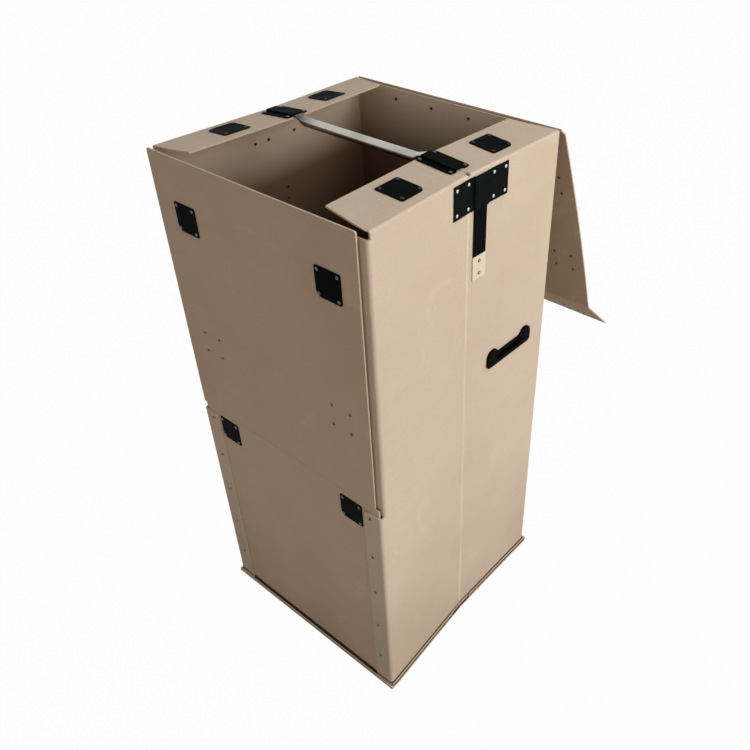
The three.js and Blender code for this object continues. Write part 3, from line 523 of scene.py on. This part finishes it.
def rivets(name, body, caps, rise, profile, radius, height, material):
    """One mesh of turned rivet ends. Each starts on the carrier's face, a given rise under the solid's cap."""
    if not caps:
        return
    target = bmesh.new()
    for cap in caps:
        rings = turned(target, profile, cap @ Matrix.Translation((0, 0, -rise)), radius, height)
        if len(rings[-1]) == 1:
            target.faces.new(list(reversed(rings[0])))
        else:
            join_rings(target, rings[-1], rings[0], smooth=False)
    new_piece(name, target, material, body)


def fasten(name, body, caps, dome=None, gap=0.0):
    """Finished heads outside, domes of a given metal or dull rolled rings, and rolled rings on the tails."""
    heads, tails = caps
    ring = (RING, RING_RADIUS, RING_HEIGHT, RIVET_DULL)
    head = (DOME, HEAD_RADIUS, HEAD_HEIGHT, dome) if dome else ring
    rivets(name + "_heads", body, heads, SOLID_HEAD_RISE + gap, *head)
    rivets(name + "_tails", body, tails, SOLID_TAIL_RISE, *ring)


def towards_middle(polygon):
    """Whether an upright face looks towards the box's middle."""
    normal, center = polygon.normal, polygon.center
    return abs(normal.z) < UPRIGHT_MOST_Z and normal.x * center.x + normal.y * center.y < 0


# The faces this picks get the darker copy of the wrap board: painted shade
def front_flange(polygon):
    """Whether a face looks to the front."""
    return polygon.normal.y < -FRONT_LEAST_Y


# The faces this picks get dark brown board, as painted shade
def tray_floor(polygon):
    """The tray's floor from above, and the insides of its lips."""
    floor = polygon.normal.z > LEVEL_LEAST_Z and polygon.center.z < DEEPER_THAN_A_BOARD
    return floor or towards_middle(polygon)


INSIDE = (KRAFT_INNER_PAINTED_SHADE, towards_middle)
dress("body_wrap", KRAFT_WRAP, BOARD_BEVEL, edge=EDGE, picks=(INSIDE, (KRAFT_FLANGE_PAINTED_SHADE, front_flange)))
dress("front_door", KRAFT_FRONT_PAINTED_SHADE, BOARD_BEVEL, edge=EDGE)
for board in ("lid_spine", "lid_panel", "lid_front_flap"):
    dress(board, KRAFT_LID_PAINTED_SHADE, BOARD_BEVEL, edge=EDGE)
for board, finish, gap, picks in (
    ("front_lower_panel", KRAFT_FRONT_PAINTED_SHADE, FLANGE_HEAD_GAP, (INSIDE,)),
    ("base_tray", KRAFT_PALE, 0.0, ((KRAFT_TRAY_FLOOR_PAINTED_SHADE, tray_floor),)),
    ("lid_mounting_strip", KRAFT_LID_PAINTED_SHADE, 0.0, ()),
):
    fasten(board, "root", dress(board, finish, BOARD_BEVEL, edge=EDGE, picks=picks), gap=gap)
for hand in ("left", "right"):
    dress("strap_" + hand, WEBBING, STRAP_BEVEL)
    dress("handle_" + hand, HANDLE_BLACK, HANDLE_BEVEL, segments=3)
    fasten("strap_tab_" + hand, "root", dress("strap_tab_" + hand, CREAM))
    fasten("strap_plate_" + hand, "root", dress("strap_plate_" + hand, DUSTY_BLACK), RIVET)
    for plate, body, dome in (
        ("bar_keeper_", "root", RIVET_GREY),
        ("flap_patch_front_", "root", RIVET_DARK),
        ("flap_patch_back_", "root", RIVET_DARK),
        ("lower_panel_patch_", "root", RIVET_GREY),
        ("ear_patch_", "root", RIVET_GREY),
        ("door_patch_", "door", RIVET_GREY),
        ("door_inner_patch_", "door", RIVET_GREY),
        ("lid_patch_front_", "lid", RIVET_GREY),
        ("lid_patch_back_", "lid", RIVET_GREY),
        ("lid_flap_patch_", "lid_flap", RIVET_GREY),
    ):
        fasten(plate + hand, body, dress(plate + hand, BLACK), dome)


def bar_section(x):
    """The bar at a distance from its middle: its height, half height, half width and roundness."""
    share = min(max((abs(x) - CRANK_FROM_X) / (FLAT_FROM_X - CRANK_FROM_X), 0.0), 1.0)
    share = share * share * (3 - 2 * share)
    along = max((abs(x) - FLAT_FROM_X) / (BAR_TIP_X - FLAT_FROM_X), 0.0)
    flat_z = FLAT_Z + (TIP_Z - FLAT_Z) * along
    tube = (BAR_Z, BAR_RADIUS, BAR_RADIUS, 1.0)
    flat = (flat_z, FLAT_HALF_HEIGHT, FLAT_HALF_WIDTH, FLAT_SQUARENESS)
    return tuple(a + (b - a) * share for a, b in zip(tube, flat))


def hanger_bar():
    """A round tube lofted along X into a crank and a flat tongue at each end."""
    crank = FLAT_FROM_X - CRANK_FROM_X
    half = [CRANK_FROM_X * share for share in TUBE_SHARES]
    half += [CRANK_FROM_X + crank * k / CRANK_STEPS for k in range(CRANK_STEPS + 1)]
    half += [FLAT_FROM_X + FLAT_START_STEP, (FLAT_FROM_X + BAR_TIP_X) / 2]
    half += [BAR_TIP_X - FLAT_END_STEP, BAR_TIP_X]
    target = bmesh.new()
    rings = []
    for x in [-x for x in reversed(half)] + half:
        z, high, wide, roundness = bar_section(x)
        ring = []
        for k in range(BAR_SIDES):
            turn = 2 * math.pi * (k + 0.5) / BAR_SIDES
            across = math.copysign(abs(math.cos(turn)) ** roundness, math.cos(turn)) * wide
            up = math.copysign(abs(math.sin(turn)) ** roundness, math.sin(turn)) * high
            ring.append(target.verts.new((x, WALL_CREASE_Y + across, z + up)))
        rings.append(ring)
    for low, high in zip(rings, rings[1:]):
        join_rings(target, low, high)
    target.faces.new(list(reversed(rings[0])))
    target.faces.new(rings[-1])
    bmesh.ops.recalc_face_normals(target, faces=target.faces)
    bar = new_piece("hanger_bar_tube", target, CHROME, "root")
    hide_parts("hanging_bar")


def add_camera():
    """The photograph's view, with its optical axis a little off the frame's middle."""
    data = bpy.data.cameras.new("camera")
    camera = bpy.data.objects.new("camera", data)
    bpy.context.scene.collection.objects.link(camera)
    camera.matrix_world = frame_of(CAMERA_PLACE, -CAMERA_FORWARD, CAMERA_RIGHT)
    data.sensor_width = SENSOR
    data.lens = SENSOR * FOCAL_PIXELS / IMAGE_PIXELS
    data.shift_x = (IMAGE_PIXELS / 2 - OPTICAL_AXIS_PIXEL[0]) / IMAGE_PIXELS
    data.shift_y = (OPTICAL_AXIS_PIXEL[1] - IMAGE_PIXELS / 2) / IMAGE_PIXELS
    data.clip_end = 100
    bpy.context.scene.camera = camera


def area_light(name, place, target, side, power, color):
    """A square lamp that looks at a point."""
    data = bpy.data.lights.new(name, "AREA")
    data.size = side
    data.energy = power
    data.color = color
    light = bpy.data.objects.new(name, data)
    bpy.context.scene.collection.objects.link(light)
    light.location = place
    light.rotation_euler = (Vector(target) - Vector(place)).to_track_quat("-Z", "Y").to_euler()


def seen_directly(tree):
    """1 for camera, mirror and glass rays, 0 for the rays that light the object."""
    path = tree.nodes.new("ShaderNodeLightPath")
    value = path.outputs["Is Camera Ray"]
    for name in ("Is Glossy Ray", "Is Transmission Ray"):
        larger = tree.nodes.new("ShaderNodeMath")
        larger.operation = "MAXIMUM"
        tree.links.new(value, larger.inputs[0])
        tree.links.new(path.outputs[name], larger.inputs[1])
        value = larger.outputs["Value"]
    return value


def soft_world(toward, low, high):
    """Soft light that is brighter from one direction. The background itself shows white."""
    world = bpy.data.worlds.new("world")
    bpy.context.scene.world = world
    world.use_nodes = True
    tree = world.node_tree
    coords = tree.nodes.new("ShaderNodeTexCoord")
    dot = tree.nodes.new("ShaderNodeVectorMath")
    dot.operation = "DOT_PRODUCT"
    tree.links.new(coords.outputs["Generated"], dot.inputs[0])
    dot.inputs[1].default_value = Vector(toward).normalized()
    light = tree.nodes.new("ShaderNodeMapRange")
    light.inputs["From Min"].default_value = -1.0
    light.inputs["To Min"].default_value = low
    light.inputs["To Max"].default_value = high
    tree.links.new(dot.outputs["Value"], light.inputs["Value"])
    level = tree.nodes.new("ShaderNodeMix")
    level.inputs["B"].default_value = 1.0
    tree.links.new(seen_directly(tree), level.inputs["Factor"])
    tree.links.new(light.outputs["Result"], level.inputs["A"])
    background = tree.nodes["Background"]
    background.inputs["Color"].default_value = (1, 1, 1, 1)
    tree.links.new(level.outputs["Result"], background.inputs["Strength"])


def pale_floor(shade, shown):
    """A pale floor that shows nearly white and keeps the object's soft shadow."""
    mesh = bpy.data.meshes.new("floor")
    corners = [(x * FLOOR_REACH, y * FLOOR_REACH, 0) for x, y in ((-1, -1), (1, -1), (1, 1), (-1, 1))]
    mesh.from_pydata(corners, [], [(0, 1, 2, 3)])
    floor = bpy.data.objects.new("floor", mesh)
    bpy.context.scene.collection.objects.link(floor)
    floor.location.z = cad_box[0][2] - FLOOR_DROP
    material = bpy.data.materials.new("floor_white")
    material.use_nodes = True
    tree = material.node_tree
    bsdf = tree.nodes["Principled BSDF"]
    bsdf.inputs["Base Color"].default_value = (shade, shade, shade, 1)
    bsdf.inputs["Roughness"].default_value = 1.0
    bsdf.inputs["Specular IOR Level"].default_value = 0.0
    glow = tree.nodes.new("ShaderNodeEmission")
    blend = tree.nodes.new("ShaderNodeMixShader")
    share = tree.nodes.new("ShaderNodeMath")
    share.operation = "MULTIPLY"
    share.inputs[1].default_value = shown
    tree.links.new(seen_directly(tree), share.inputs[0])
    tree.links.new(share.outputs["Value"], blend.inputs["Fac"])
    tree.links.new(bsdf.outputs["BSDF"], blend.inputs[1])
    tree.links.new(glow.outputs["Emission"], blend.inputs[2])
    tree.links.new(blend.outputs["Shader"], tree.nodes["Material Output"].inputs["Surface"])
    mesh.materials.append(material)


hanger_bar()
add_camera()
soft_world(toward=(1.0, -0.05, 0.05), low=0.12, high=0.69)
pale_floor(shade=0.55, shown=0.98)
area_light("key_right", (3.2, 0.3, 2.0), (0, 0, 0.8), side=2.2, power=45, color=(1.0, 0.95, 0.89))
area_light("sky_right", (2.2, 1.4, 2.8), (0, 0, 1.1), side=1.6, power=31, color=(0.88, 0.95, 1.0))

bpy.context.scene.view_settings.view_transform = "Standard"
